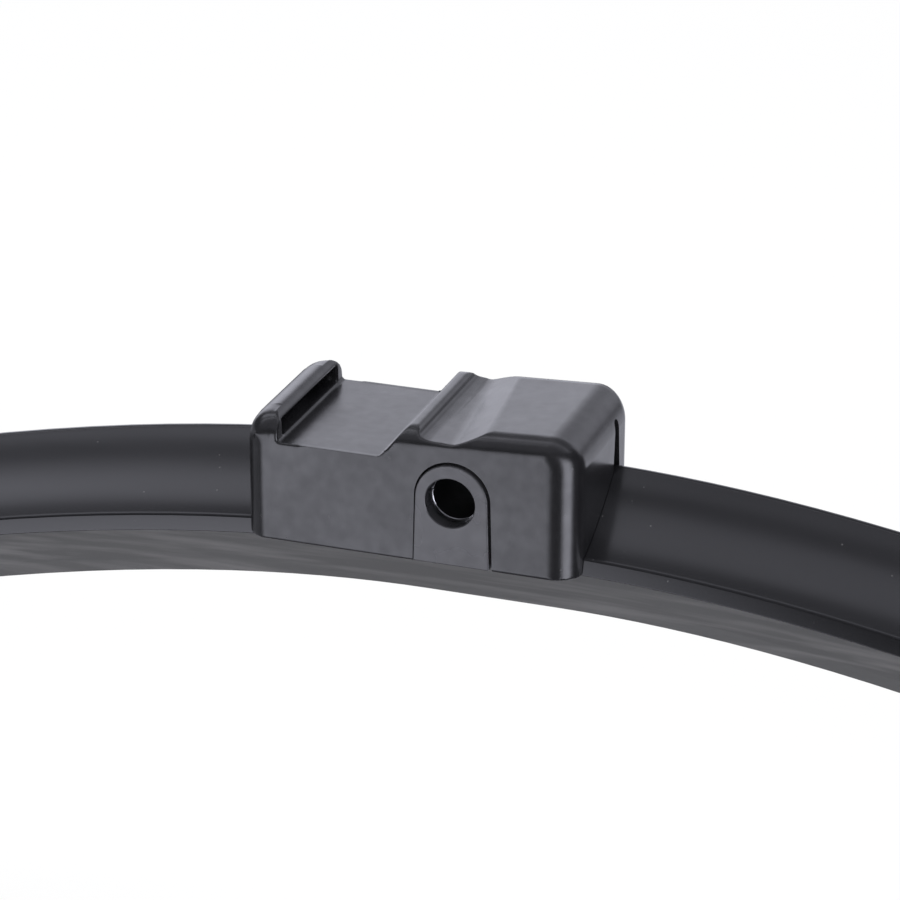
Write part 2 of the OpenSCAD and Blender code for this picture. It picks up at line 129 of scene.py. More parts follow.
def spread(
    tree: Tree, value: Socket, limits: Point, low: float = 0.0, high: float = 1.0,
    kind: str = "LINEAR",
) -> Socket:
    """Maps a value between two limits onto another range and stops at its ends.

    Args:
        tree: Node tree that the node goes into.
        value: Socket with the value.
        limits: The value that becomes low and the one that becomes high.
        low: Result at the first limit.
        high: Result at the second limit.
        kind: Blender's name of the way between them.

    Returns:
        Socket with the result.
    """
    return add_node(
        tree, "ShaderNodeMapRange", {"interpolation_type": kind},
        {"Value": value, "From Min": limits[0], "From Max": limits[1],
         "To Min": low, "To Max": high},
    ).outputs["Result"]


# The range that a noise hardly leaves, and the part of it over which a fleck shows
NOISE_LIMITS = (0.3, 0.7)
FLECK_LIMITS = (0.45, 0.75)
# Dust: middle distance of its specks in millimetres, a speck's soft edge as a share of it,
# and the colour of house dust
SPECK_DISTANCE = 2.2
SPECK_LIMITS = (0.03, 0.06)
SPECK_COLOUR = "9a9a98"


@dataclass(frozen=True)
class Finish:
    """A surface: what it is made of, how it was made, and what that gives the eye.

    Grain, wave and fleck sizes and the depths of grain and wave are real millimetres. Dust and
    fleck_share say how much of their colour shows, mottle how far the gloss varies.
    """

    name: str
    colour: str
    fleck: str
    roughness: float
    roughness_spread: float
    ior: float = 1.5
    metallic: float = 0.0
    grain: float = 0.25
    grain_depth: float = 0.004
    wave: float = 6.0
    wave_depth: float = 0.01
    fleck_size: float = 3.0
    fleck_share: float = 0.35
    specular: float = 0.5
    stretch: tuple[float, float, float] = (1.0, 1.0, 1.0)
    dust: float = 0.0
    mottle: float = 0.0

    def noise(self, tree: Tree, place: Socket, size: float, detail: float) -> Socket:
        """Adds a noise whose features have a size in millimetres."""
        return add_node(
            tree, "ShaderNodeTexNoise", {},
            {"Vector": place, "Scale": 1 / (size * MM), "Detail": detail},
        ).outputs["Fac"]

    def mix(self, tree: Tree, share: Socket, first: object, second: object) -> Socket:
        """Mixes two colours, given as values or sockets."""
        return add_node(
            tree, "ShaderNodeMix", {"data_type": "RGBA"},
            {"Factor": share, "A": first, "B": second},
        ).outputs["Result"]

    def bump(self, tree: Tree, height: Socket, depth: float, under: Socket | None) -> Socket:
        """Raises the surface by a depth in millimetres, on top of another bump if there is one."""
        inputs = {"Height": height, "Distance": depth * MM, "Strength": 1.0}
        inputs |= {} if under is None else {"Normal": under}
        return add_node(tree, "ShaderNodeBump", {}, inputs).outputs["Normal"]

    def build(self) -> bpy.types.Material:
        """Makes the material from moulding grain, slow unevenness and faint flecks.

        Returns:
            The material.
        """
        material = bpy.data.materials.new(self.name)
        material.use_nodes = True
        tree = material.node_tree
        tree.nodes.clear()
        place = add_node(tree, "ShaderNodeTexCoord").outputs["Object"]
        stretched = add_node(
            tree, "ShaderNodeMapping", {}, {"Vector": place, "Scale": self.stretch}
        ).outputs["Vector"]
        slow = self.noise(tree, stretched, self.wave, 3.0)
        fine = self.noise(tree, place, self.grain, 2.0)
        patch = self.noise(tree, stretched, self.fleck_size, 4.0)
        share = spread(tree, patch, FLECK_LIMITS, high=self.fleck_share)
        colour = self.mix(tree, share, shade(self.colour), shade(self.fleck))
        if self.dust:
            specks = add_node(
                tree, "ShaderNodeTexVoronoi", {},
                {"Vector": place, "Scale": 1 / (SPECK_DISTANCE * MM), "Randomness": 1.0},
            ).outputs["Distance"]
            dots = spread(tree, specks, SPECK_LIMITS, self.dust, 0.0)
            colour = self.mix(tree, dots, colour, shade(SPECK_COLOUR))
        rough, uneven = self.roughness, self.roughness_spread
        swell = self.bump(tree, slow, self.wave_depth, None)
        gloss: Socket | float = self.specular
        if self.mottle:
            low, high = gloss * (1 - self.mottle), gloss * (1 + self.mottle)
            gloss = spread(tree, patch, NOISE_LIMITS, low, high)
        shader = add_node(
            tree, "ShaderNodeBsdfPrincipled", {},
            {
                "Base Color": colour, "IOR": self.ior, "Metallic": self.metallic,
                "Roughness": spread(tree, slow, NOISE_LIMITS, rough - uneven, rough + uneven),
                "Specular IOR Level": gloss,
                "Normal": self.bump(tree, fine, self.grain_depth, swell),
            },
        )
        add_node(tree, "ShaderNodeOutputMaterial", {}, {"Surface": shader.outputs["BSDF"]})
        return material


# Glass-filled nylon, injection moulded in a finely eroded mould: an even satin black
COVER_NYLON = Finish(
    "black_nylon_eroded_mould", "1f1f21", "262628", 0.24, 0.03, ior=1.55,
    grain=0.22, grain_depth=0.0035, wave=7.0, wave_depth=0.03, dust=0.12,
    fleck_size=1.6, mottle=0.12,
)
# The same nylon in a smoother mould: the carrier's ears are a shade lighter
CARRIER_NYLON = Finish(
    "black_nylon_carrier", "3a3a3d", "424245", 0.27, 0.03, ior=1.55, grain=0.2,
    grain_depth=0.003, wave=5.0, wave_depth=0.008, fleck_size=1.6, mottle=0.12,
)
# Extruded thermoplastic elastomer: smooth and dark, with faint lines along the extrusion
SPOILER_ELASTOMER = Finish(
    "black_elastomer_extruded", "18181a", "1e1e20", 0.16, 0.03, grain=0.3,
    grain_depth=0.002, wave=9.0, wave_depth=0.008, stretch=(0.12, 1.0, 1.0), dust=0.2,
)
# Moulded and slit wiping rubber with a graphite coat: matte brown-grey with long streaks
WIPING_RUBBER = Finish(
    "graphite_coated_rubber", "535354", "6d6c6d", 0.62, 0.05, grain=0.15,
    grain_depth=0.004, wave=2.0, wave_depth=0.01, fleck_size=1.2, fleck_share=0.8,
    stretch=(0.05, 1.0, 1.0),
)
# Steel bush, matte black with little gloss: painted shade for the dark depth of its bore
BUSH_BORE_SHADE = Finish(
    "bush_steel_painted_shade", "0c0c0d", "121213", 0.72, 0.05, specular=0.12, grain=0.1,
    grain_depth=0.002, wave=2.0, wave_depth=0.003,
)
# Turned steel bush, bright where the lathe left it
BUSH_STEEL = Finish(
    "turned_bush_steel", "c9c9cb", "aeb0b3", 0.28, 0.05, metallic=1.0, grain=0.1,
    grain_depth=0.001, wave=2.0, wave_depth=0.002,
)
# Rolled spring steel, blued by its heat treatment
SPRING_STEEL = Finish(
    "rolled_spring_steel", "8d9094", "73767b", 0.36, 0.06, metallic=1.0, grain=0.15,
    grain_depth=0.001, wave=4.0, wave_depth=0.003, stretch=(0.1, 1.0, 1.0),
)
# Die-cast zinc, dull from the die with a fine grain
BRACKET_ZINC = Finish(
    "die_cast_zinc", "9a9b9d", "85868a", 0.48, 0.06, metallic=1.0, grain=0.3,
    grain_depth=0.004, wave=3.0, wave_depth=0.006,
)


@dataclass
class Finishes:
    """Every material of the blade, made once."""

    def __post_init__(self) -> None:
        """Builds the materials."""
        self.cover = COVER_NYLON.build()
        self.carrier = CARRIER_NYLON.build()
        self.spoiler = SPOILER_ELASTOMER.build()
        self.rubber = WIPING_RUBBER.build()
        # Painted shade: matte black for the bush's bore
        self.bush = BUSH_BORE_SHADE.build()
        self.turned = BUSH_STEEL.build()
        self.spring = SPRING_STEEL.build()
        self.zinc = BRACKET_ZINC.build()


# Drawing and shaping


class Outline:
    """A flat closed outline, drawn point by point and turned into one face."""

    def __init__(self, plane: Plane, start: Point) -> None:
        """Starts the outline.

        Args:
            plane: Plane that the outline lies in.
            start: First point on the plane's two axes.
        """
        self.plane = plane
        self.bm = bmesh.new()
        self.first = self.last = self.bm.verts.new(self.spot(start))

    @classmethod
    def box(cls, plane: Plane, low: Point, high: Point) -> "Outline":
        """Draws a rectangle from one corner to the opposite one."""
        return cls(plane, low).to((high[0], low[1]), high, (low[0], high[1]))

    def spot(self, point: Point) -> Vector:
        """Gives the place of a point of the plane in space."""
        first, second, _ = self.plane.value
        return UNIT[first] * point[0] + UNIT[second] * point[1]

    def to(self, *points: Point) -> "Outline":
        """Draws straight lines to one point after another and returns the outline."""
        for point in points:
            vert = self.bm.verts.new(self.spot(point))
            self.bm.edges.new((self.last, vert))
            self.last = vert
        return self

    def round(self, centre: Point, degrees: float, steps: int) -> "Outline":
        """Draws an arc from the last point.

        Args:
            centre: Centre of the arc.
            degrees: Angle of the arc, positive from the plane's first axis to its second.
            steps: Number of straight steps of the arc.

        Returns:
            The outline.
        """
        axis = self.spot((1, 0)).cross(self.spot((0, 1)))
        turned = bmesh.ops.spin(
            self.bm, geom=[self.last], cent=self.spot(centre), axis=axis, dvec=(0, 0, 0),
            angle=math.radians(degrees), steps=steps, use_merge=False,
            use_normal_flip=False, use_duplicate=False,
        )
        self.last = [v for v in turned["geom_last"] if isinstance(v, BMVert)][0]
        return self

    def face(self) -> BMesh:
        """Closes the outline and returns its bmesh with one face."""
        self.bm.edges.new((self.last, self.first))
        bmesh.ops.remove_doubles(self.bm, verts=self.bm.verts[:], dist=NEAR)
        bmesh.ops.edgeloop_fill(self.bm, edges=self.bm.edges[:])
        return self.bm

    def solid(self, start: float, stop: float) -> BMesh:
        """Extrudes the outline square to its plane.

        Args:
            start: Where the solid starts on the axis square to the plane.
            stop: Where it ends.

        Returns:
            The closed solid.
        """
        bm = self.face()
        along = UNIT[self.plane.value[2]]
        bmesh.ops.translate(bm, vec=along * start, verts=bm.verts[:])
        grown = bmesh.ops.extrude_face_region(bm, geom=bm.faces[:], use_keep_orig=True)
        moved = [v for v in grown["geom"] if isinstance(v, BMVert)]
        bmesh.ops.translate(bm, vec=along * (stop - start), verts=moved)
        bmesh.ops.recalc_face_normals(bm, faces=bm.faces[:])
        return bm


def to_object(bm: BMesh, name: str) -> bpy.types.Object:
    """Turns a bmesh in millimetres into an object in metres at the origin.

    Args:
        bm: Mesh to use up.
        name: Name of the object.

    Returns:
        The object, linked to the scene.
    """
    bmesh.ops.scale(bm, vec=(MM, MM, MM), verts=bm.verts[:])
    mesh = bpy.data.meshes.new(name)
    bm.to_mesh(mesh)
    bm.free()
    obj = bpy.data.objects.new(name, mesh)
    bpy.context.scene.collection.objects.link(obj)
    return obj


def settle(obj: bpy.types.Object) -> None:
    """Applies an object's modifiers to its mesh."""
    bpy.context.view_layer.update()
    graph = bpy.context.evaluated_depsgraph_get()
    mesh = bpy.data.meshes.new_from_object(obj.evaluated_get(graph))
    obj.modifiers.clear()
    old = obj.data
    obj.data = mesh
    bpy.data.meshes.remove(old)


def carve(
    obj: bpy.types.Object, tool: BMesh | bpy.types.Object, cut: Cut = Cut.REMOVE
) -> None:
    """Cuts a solid by the space of a second one.

    Args:
        obj: Solid to change.
        tool: Second solid, used up.
        cut: Whether its space is removed or is all that stays.
    """
    other = tool if isinstance(tool, bpy.types.Object) else to_object(tool, "tool")
    step = obj.modifiers.new("carve", "BOOLEAN")
    step.operation = cut.value
    step.solver = "MANIFOLD"
    step.object = other
    settle(obj)
    bpy.data.objects.remove(other)


def soften(obj: bpy.types.Object, width: float, degrees: float = 32, segments: int = 2) -> None:
    """Rounds all sharp edges a little, as a mould does.

    Args:
        obj: Solid to change.
        width: Width of the rounding in millimetres.
        degrees: Edges that turn more than this are rounded.
        segments: Number of steps across the rounding.
    """
    step = obj.modifiers.new("soften", "BEVEL")
    step.width = width * MM
    step.segments = segments
    step.limit_method = "ANGLE"
    step.angle_limit = math.radians(degrees)
    step.use_clamp_overlap = False
    step.miter_outer = "MITER_ARC"
    settle(obj)


def melt(
    obj: bpy.types.Object, grid: float, rounds: int,
    blunt: Callable[[Vector], bool] = lambda place: False, more: int = 0,
) -> None:
    """Rounds every edge and inner corner of a solid softly, as the mould's wear does.

    Args:
        obj: Solid to change.
        grid: Size of the fine grid that the surface is laid on, in millimetres.
        rounds: How often the surface is smoothed on that grid.
        blunt: Tells for a place in millimetres whether it is rounded further.
        more: How often those places are smoothed again.
    """
    step = obj.modifiers.new("grid", "REMESH")
    step.mode, step.voxel_size = "VOXEL", grid * MM
    step = obj.modifiers.new("smooth", "SMOOTH")
    step.iterations, step.factor = rounds, 0.5
    settle(obj)
    bm = bmesh.new()
    bm.from_mesh(obj.data)
    chosen = [v for v in bm.verts if blunt(v.co / MM)]
    for _ in range(more):
        bmesh.ops.smooth_vert(
            bm, verts=chosen, factor=0.5, use_axis_x=True, use_axis_y=True, use_axis_z=True
        )
    bm.to_mesh(obj.data)
    bm.free()
    step = obj.modifiers.new("merge", "DECIMATE")
    step.decimate_type, step.angle_limit = "DISSOLVE", math.radians(1.0)
    settle(obj)


def present(
    obj: bpy.types.Object, finish: bpy.types.Material, nodes: Iterable[str],
    crease: float = 30, weigh: bool = True,
) -> None:
    """Dresses a finished piece and hands it to the frame.

    Args:
        obj: The piece.
        finish: Its material.
        nodes: CAD nodes that the piece stands for.
        crease: Edges that turn more than this many degrees stay sharp.
        weigh: Whether large faces keep their flat look beside small ones.
    """
    mesh = obj.data
    mesh.materials.clear()
    mesh.materials.append(finish)
    mesh.shade_smooth()
    mesh.set_sharp_from_angle(angle=math.radians(crease))
    if weigh:
        step = obj.modifiers.new("weigh", "WEIGHTED_NORMAL")
        step.keep_sharp = True
        step.weight = 80
        settle(obj)
    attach(obj, "root")
    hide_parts(*nodes)
    LOG.info("%s: %d faces", obj.name, len(obj.data.polygons))


# The blade's long parts


@dataclass
class Bow:
    """The free bow of the blade: straight under the bracket, then fading in curvature."""

    blade_length: float = 450.0
    bow_radius: float = 195.0
    straight_half: float = 8.0
    shift: float = 1.6
    base: float = -8.0
    finest: float = 1.0
    longest: float = 6.0
    hop: float = 0.25
    least_bend: float = 0.05

    def __post_init__(self) -> None:
        """Walks along one half of the bow and keeps its places."""
        self.reach = self.blade_length / 2 - self.straight_half
        self.tip_slope = self.reach / (3 * self.bow_radius)
        x, z, walked = self.straight_half, 0.0, 0.0
        self.walk = [(x, z)]
        while walked < self.reach + 1:
            slope = self.slope(self.straight_half + walked + self.hop / 2)
            x += self.hop * math.cos(slope)
            z -= self.hop * math.sin(slope)
            walked += self.hop
            self.walk.append((x, z))

    def slope(self, distance: float) -> float:
        """Gives the downward slope in radians at a distance on the right half."""
        share = min(max((distance - self.straight_half) / self.reach, 0.0), 1.0)
        return self.tip_slope * (1 - (1 - share) ** 3)

    def place(self, distance: float) -> Matrix:
        """Gives the place and turn of a section at a distance from the bow's middle.

        Args:
            distance: Distance along the bow, negative to the left.

        Returns:
            A matrix that takes a section from the plane x = 0 to its place.
        """
        side = -1 if distance < 0 else 1
        far = abs(distance)
        if far <= self.straight_half:
            x, z = far, 0.0
        else:
            steps = (far - self.straight_half) / self.hop
            k = min(int(steps), len(self.walk) - 2)
            (x0, z0), (x1, z1) = self.walk[k], self.walk[k + 1]
            x, z = x0 + (x1 - x0) * (steps - k), z0 + (z1 - z0) * (steps - k)
        spot = Vector((self.shift + side * x, 0, self.base + z))
        return Matrix.Translation(spot) @ Matrix.Rotation(side * self.slope(far), 4, "Y")

    def stations(self, start: float, stop: float) -> list[float]:
        """Lists distances close enough together for a smooth sweep.

        Args:
            start: First distance.
            stop: Last distance.

        Returns:
            The distances in rising order.
        """
        found = [start]
        while found[-1] < stop:
            here = abs(found[-1])
            bend = (1 - min(max((here - self.straight_half) / self.reach, 0), 1)) ** 2
            if here < self.straight_half - self.longest:
                bend = 2 * self.least_bend
            step = math.radians(self.finest) * self.bow_radius / max(bend, self.least_bend)
            found.append(min(found[-1] + min(step, self.longest), stop))
        return found

    def sweep(self, section: BMesh, start: float, stop: float) -> BMesh:
        """Draws a section along the bow.

        Args:
            section: One face in the plane x = 0, used up.
            start: Distance at which the sweep starts.
            stop: Distance at which it ends.

        Returns:
            The closed solid.
        """
        spots = self.stations(start, stop)
        bmesh.ops.transform(section, matrix=self.place(start), verts=section.verts[:])
        loop = section.edges[:]
        for before, after in zip(spots, spots[1:]):
            grown = bmesh.ops.extrude_edge_only(section, edges=loop)["geom"]
            loop = [e for e in grown if isinstance(e, BMEdge)]
            moved = [v for v in grown if isinstance(v, BMVert)]
            onward = self.place(after) @ self.place(before).inverted()
            bmesh.ops.transform(section, matrix=onward, verts=moved)
        bmesh.ops.edgeloop_fill(section, edges=loop)
        bmesh.ops.recalc_face_normals(section, faces=section.faces[:])
        return section


def round_corners(bm: BMesh, width: float, chosen: Callable[[Vector], bool]) -> BMesh:
    """Rounds chosen corners of a flat section.

    Args:
        bm: Section with one face.
        width: How far from the corner the rounding starts.
        chosen: Tells for a corner's place whether it is rounded.

    Returns:
        The section.
    """
    bmesh.ops.bevel(
        bm, geom=[v for v in bm.verts if chosen(v.co)], offset=width, offset_type="OFFSET",
        segments=3, profile=0.5, affect="VERTICES", material=-1, clamp_overlap=True,
    )
    return bm


@dataclass
class Spoiler:
    """Extruded air spoiler, clipped over the rails on one side of the connector."""

    bow: Bow
    left: Point = (-215.5, -20.3)
    right: Point = (10.3, 215.5)
    width: float = 16.5
    height: float = 9.0
    flange_height: float = 2.1
    flange_lean: float = 0.35
    ridge_back: float = 4.6
    ridge_radius: float = 0.9
    ramp_radius: float = 46.0
    back_step: float = 0.5
    wall: float = 1.5
    ramp_sag: float = 0.5
    slot_half: float = 6.6
    slot_floor: float = 0.65
    slot_top: float = 1.75
    room_half: float = 3.8
    room_top: float = 3.15
    duct_floor: float = 4.15
    ridge_from: float = 22.0
    ridge_to: float = 128.0
    back_rise: float = 0.3
    foot_round: float = 0.22

    def skin(self, outline: Outline, grow: float = 0.0) -> Outline:
        """Draws the outer skin from above the back foot round to the front foot.

        Args:
            outline: Outline whose last point is the back foot.
            grow: Clearance that the skin is grown by.

        Returns:
            The outline.
        """
        half, top = self.width / 2 + grow, self.flange_height + grow
        radius = self.ridge_radius + grow
        ridge = (self.ridge_back, self.height - self.ridge_radius)
        start, end = math.radians(self.ridge_from), math.radians(self.ridge_to)
        outline.to(
            (half - self.flange_lean, top),
            (half - self.flange_lean - self.back_step, top + self.back_rise),
            (ridge[0] + radius * math.cos(start), ridge[1] + radius * math.sin(start)),
        )
        outline.round(ridge, self.ridge_to - self.ridge_from, 14)
        a = Vector((ridge[0] + radius * math.cos(end), ridge[1] + radius * math.sin(end)))
        b = Vector((-half + self.flange_lean, top))
        across = b - a
        side = Vector((across.y, -across.x)).normalized()
        rise = math.sqrt(self.ramp_radius**2 - (across.length / 2) ** 2)
        centre = (a + b) / 2 + side * rise
        turn = 2 * math.degrees(math.asin(across.length / 2 / self.ramp_radius))
        outline.round((centre.x, centre.y), -turn, 28)
        return outline.to((-half, -grow))

    def section(self) -> BMesh:
        """Draws the whole section with its room for rails and rubber and its duct."""
        lean = self.width / 2 - self.flange_lean
        tilt = math.atan((self.height - self.flange_height) / (self.ridge_back + lean))
        depth, rise = self.wall + self.ramp_sag, self.duct_floor - self.flange_height
        back = lean - self.back_step
        back_lean = (back - self.ridge_back - self.ridge_radius) / (
            self.height - self.flange_height
        )
        outline = Outline(Plane.END, (self.room_half, 0)).to((self.width / 2, 0))
        self.skin(outline).to(
            (-self.room_half, 0), (-self.room_half, self.slot_floor),
            (-self.slot_half, self.slot_floor), (-self.slot_half, self.slot_top),
            (-self.room_half, self.slot_top), (-self.room_half, self.room_top),
            (-lean + rise / math.tan(tilt) + depth / math.sin(tilt), self.duct_floor),
            (self.ridge_back, self.flange_height + (self.ridge_back + lean) * math.tan(tilt)
             - depth / math.cos(tilt)),
            (back - rise * back_lean - self.wall, self.duct_floor),
            (self.room_half, self.room_top), (self.room_half, self.slot_top),
            (self.slot_half, self.slot_top), (self.slot_half, self.slot_floor),
            (self.room_half, self.slot_floor),
        )
        foot = self.width / 2 - self.back_step
        return round_corners(
            outline.face(), self.foot_round, lambda p: abs(p.y) > foot and p.z < self.room_top
        )

    def build(self, finish: bpy.types.Material) -> None:
        """Makes the spoiler on either side of the connector.

        Args:
            finish: Their material.
        """
        for name, ends in (("spoiler_left", self.left), ("spoiler_right", self.right)):
            obj = to_object(self.bow.sweep(self.section(), *ends), name + "_skin")
            present(obj, finish, [name])


@dataclass
class Rubber:
    """Wiping rubber: head over the rails, neck between them, shoulder, wedge and lip."""

    bow: Bow
    depth: float = 8.6
    lip: float = 0.8
    wedge: float = 5.8
    neck: float = 1.3
    shoulder: float = 6.8
    head: float = 5.8
    head_top: float = 3.05
    groove_top: float = 1.70
    groove_floor: float = 0.70
    rail_neck: float = 1.4
    shoulder_depth: float = 1.3
    neck_depth: float = 0.9
    lip_depth: float = 1.3
    corner: float = 0.5
    fillet: float = 0.3
    wedge_corner: float = 0.4
    wedge_side: float = 0.5
    wedge_lean: float = 0.1
    lip_flare: float = 0.25
    end: float = 223.9

    def half(self) -> list[Point]:
        """Lists half of the section from the top of the head to the edge of the lip."""
        head, shoulder, neck = self.head / 2, self.shoulder / 2, self.neck / 2
        wedge, lip, c, f = self.wedge / 2, self.lip / 2, self.corner, self.fillet
        under = self.groove_floor - self.shoulder_depth
        top = under - self.neck_depth
        side = top - self.wedge_corner - self.wedge_side
        edge = -self.depth + self.lip_depth
        return [
            (head - c, self.head_top), (head, self.head_top - c), (head, self.groove_top),
            (self.rail_neck, self.groove_top), (self.rail_neck, self.groove_floor),
            (shoulder, self.groove_floor), (shoulder, under + c), (shoulder - c, under),
            (neck + f, under), (neck, under - f), (neck, top + f), (neck + f, top),
            (wedge - self.wedge_corner, top), (wedge, top - self.wedge_corner),
            (wedge - self.wedge_lean, side), (lip + self.lip_flare, edge + 2 * self.lip_flare),
            (lip, edge), (lip, -self.depth),
        ]

    def build(self, finish: bpy.types.Material) -> None:
        """Makes the rubber.

        Args:
            finish: Its material.
        """
        points = self.half()
        outline = Outline(Plane.END, (-points[0][0], points[0][1]))
        outline.to(*[(-y, z) for y, z in points[1:]]).to(*reversed(points))
        obj = to_object(self.bow.sweep(outline.face(), -self.end, self.end), "rubber_body")
        present(obj, finish, ["wiper_rubber"])


# The connector


@dataclass
class Cover:
    """Moulded connector cover with lip, strap tray, rib, finger groove and hump."""

    spoiler: Spoiler
    # Outer form: the lip's and the hump's end faces, half the width, and heights
    lip_x: float = -26.2
    hump_x: float = 15.7
    half: float = 10.9
    bottom: float = -8.0
    lip_top: float = 7.95
    crest_top: float = 8.5
    hump_top: float = 9.3
    wall: float = 1.4
    # Round edges and corners; the block's top rises above the tray over rise_length
    corner_radius: float = 3.6
    left_corner_radius: float = 2.85
    lip_edge: float = 3.3
    edge_radius: float = 2.0
    end_radius: float = 4.0
    lip_radius: float = 3.4
    rise_length: float = 3.0
    # Strap tray between the lip and the ramp, whose slope is in degrees
    tray: float = 4.7
    tray_length: float = 13.0
    stop_thickness: float = 4.5
    stop_fillet: float = 1.5
    foot_fillet: float = 0.35
    ramp: float = 52.0
    # Recess in the lip's inner wall
    recess_low: float = 4.95
    recess_high: float = 6.95
    recess_depth: float = 2.4
    recess_half: float = 9.1
    # Rib and finger groove; trough, rise_slope and hump_skew are angles in degrees
    rib_width: float = 2.4
    crease_inset: float = 0.4
    crest_radius: float = 0.6
    groove_floor: float = 7.35
    groove_width: float = 7.8
    groove_corner: float = 1.6
    groove_front: float = 0.2
    plan_inset: float = 0.72
    hump_rise: float = 5.0
    trough: float = 14.0
    rise_slope: float = 22.0
    hump_skew: float = 6.0
    # Slit in the hump's end, with half its width at the foot and at the head, and the wall
    # thinned round it
    slit_low: float = -0.2
    slit_top: float = 6.1
    slit_foot: float = 1.3
    slit_head: float = 0.7
    slit_wall: float = 0.65
    slit_room_rise: float = 0.9
    slit_room_front: float = 2.0
    slit_room_back: float = 3.6
    # Windows for the ears, open below the bottom
    window_centre: Point = (0.32, 0.5)
    window_radius: float = 4.75
    window_flare: float = 0.25
    window_foot: float = 2.0
    # Softening: its grid, its rounds and more rounds for the lip's two ends
    grid: float = 0.2
    smoothing: int = 4
    blunting: int = 60
    blunt_inset: float = 0.9
    blunt_half: float = 6.6
    blunt_low: float = 4.2
    # How close the trim goes to the tray, to the lip and to the ramp
    trim_lift: float = 0.02
    trim_left: float = 0.9
    trim_right: float = 0.3
    # Play round the spoilers, and how far cuts run past the cover and past a wall
    play: float = 0.16
    over: float = 4.0
    through: float = 1.0

    def __post_init__(self) -> None:
        """Works out the places that follow from the sizes."""
        angle = math.radians(self.ramp)
        rib_height = self.crest_top - self.tray
        self.tray_start = self.lip_x + self.stop_thickness
        self.tray_end = self.tray_start + self.tray_length
        self.crest_x = self.tray_end + (
            self.crest_radius + (rib_height - self.crest_radius) * math.cos(angle)
        ) / math.sin(angle)
        self.crease_x = self.crest_x - self.crest_radius + self.rib_width - self.crease_inset
        self.flat_end = self.hump_x - self.end_radius
        self.tilt = (self.hump_top - self.crest_top) / (self.flat_end - self.crest_x)
        self.hump_start = self.crease_x + self.groove_width
        self.hump_edge = self.crest_top + (self.hump_start - self.crest_x) * self.tilt

    def block(self) -> bpy.types.Object:
        """Makes the outer block with all its round edges, before any cut."""
        top = self.hump_top
        middle = self.tray_start + self.tray_length / 2
        right = middle + self.rise_length
        outline = Outline(Plane.SIDE, (self.lip_x, self.bottom))
        outline.to((self.lip_x, self.lip_top - self.lip_radius))
        outline.round((self.lip_x + self.lip_radius, self.lip_top - self.lip_radius), -90, 14)
        outline.to(
            (middle, self.lip_top),
            (right, self.crest_top + (right - self.crest_x) * self.tilt),
            (self.flat_end, top),
        )
        outline.round((self.flat_end, top - self.end_radius), -90, 16)
        outline.to((self.hump_x, self.bottom))
        bm = outline.solid(-self.half, self.half)
        layer = bm.edges.layers.float.new("bevel_weight_edge")
        for edge in bm.edges:
            a, b = (v.co for v in edge.verts)
            level = max(a.z, b.z) - self.bottom < NEAR
            if abs(a.y - b.y) < NEAR and not level:
                upright = ((a.z - b.z) / (a - b).length) ** 2
                left = max(a.x, b.x) < middle + NEAR
                flat = self.lip_edge if left else self.edge_radius
                corner = self.left_corner_radius if left else self.corner_radius
                radius = flat + (corner - flat) * upright
                edge[layer] = radius / self.corner_radius
        obj = to_object(bm, "cover_shell")
        step = obj.modifiers.new("edges", "BEVEL")
        step.limit_method = "WEIGHT"
        step.width = self.corner_radius * MM
        step.segments = 12
        step.use_clamp_overlap = False
        settle(obj)
        return obj

    def tray_tool(self) -> BMesh:
        """Draws the space over the strap tray, from the lip's inside to the rib's crest."""
        high = self.hump_top + self.over
        lip, foot = self.tray_start - self.stop_fillet, self.tray + self.foot_fillet
        x, z, r = self.crest_x, self.crest_top - self.crest_radius + LIFT, self.crest_radius
        turn = math.radians(90 + self.ramp)
        outline = Outline(Plane.SIDE, (lip, high)).to((lip, self.lip_top + LIFT))
        outline.round((lip, self.lip_top - self.stop_fillet + LIFT), -90, 8)
        outline.to((self.tray_start, foot))
        outline.round((self.tray_start + self.foot_fillet, foot), 90, 4)
        outline.to((self.tray_end, self.tray), (x + r * math.cos(turn), z + r * math.sin(turn)))
        outline.round((x, z), -self.ramp, 6)
        outline.to((self.crest_x, high))
        return outline.solid(-self.half - self.over, self.half + self.over)

    def groove_tool(self) -> BMesh:
        """Draws the finger groove beside the rib, whose rise to the hump is skewed."""
        high = self.hump_top + self.over
        crest = self.crest_top + (self.crease_x - self.crest_x) * self.tilt + LIFT
        rise = self.hump_edge - self.groove_floor
        turn = math.radians(self.rise_slope)
        radius = (self.hump_rise * math.tan(turn) - rise) / (
            2 * (math.sin(turn) * math.tan(turn) + math.cos(turn) - 1)
        )
        foot = self.hump_start - self.hump_rise
        bowl = (foot - self.crease_x) / math.sin(math.radians(self.trough))
        edge = self.groove_floor + bowl * (1 - math.cos(math.radians(self.trough)))
        ridge = crest - edge
        outline = Outline(Plane.SIDE, (self.crease_x - ridge, high))
        outline.to((self.crease_x - ridge, crest))
        outline.round((self.crease_x - ridge, edge), -90, 10)
        outline.round((foot, self.groove_floor + bowl), self.trough, 8)
        outline.round((foot, self.groove_floor + radius), self.rise_slope, 8)
        centre = self.hump_edge + LIFT - radius
        outline.to((self.hump_start - radius * math.sin(turn), centre + radius * math.cos(turn)))
        outline.round((self.hump_start, centre), -self.rise_slope, 8)
        outline.to((self.hump_start, high))
        bm = outline.solid(-self.half - self.over, self.half + self.over)
        skew = math.tan(math.radians(self.hump_skew))
        for vert in bm.verts:
            if vert.co.x > (self.crease_x + foot) / 2:
                vert.co.x -= vert.co.y * skew
        return bm

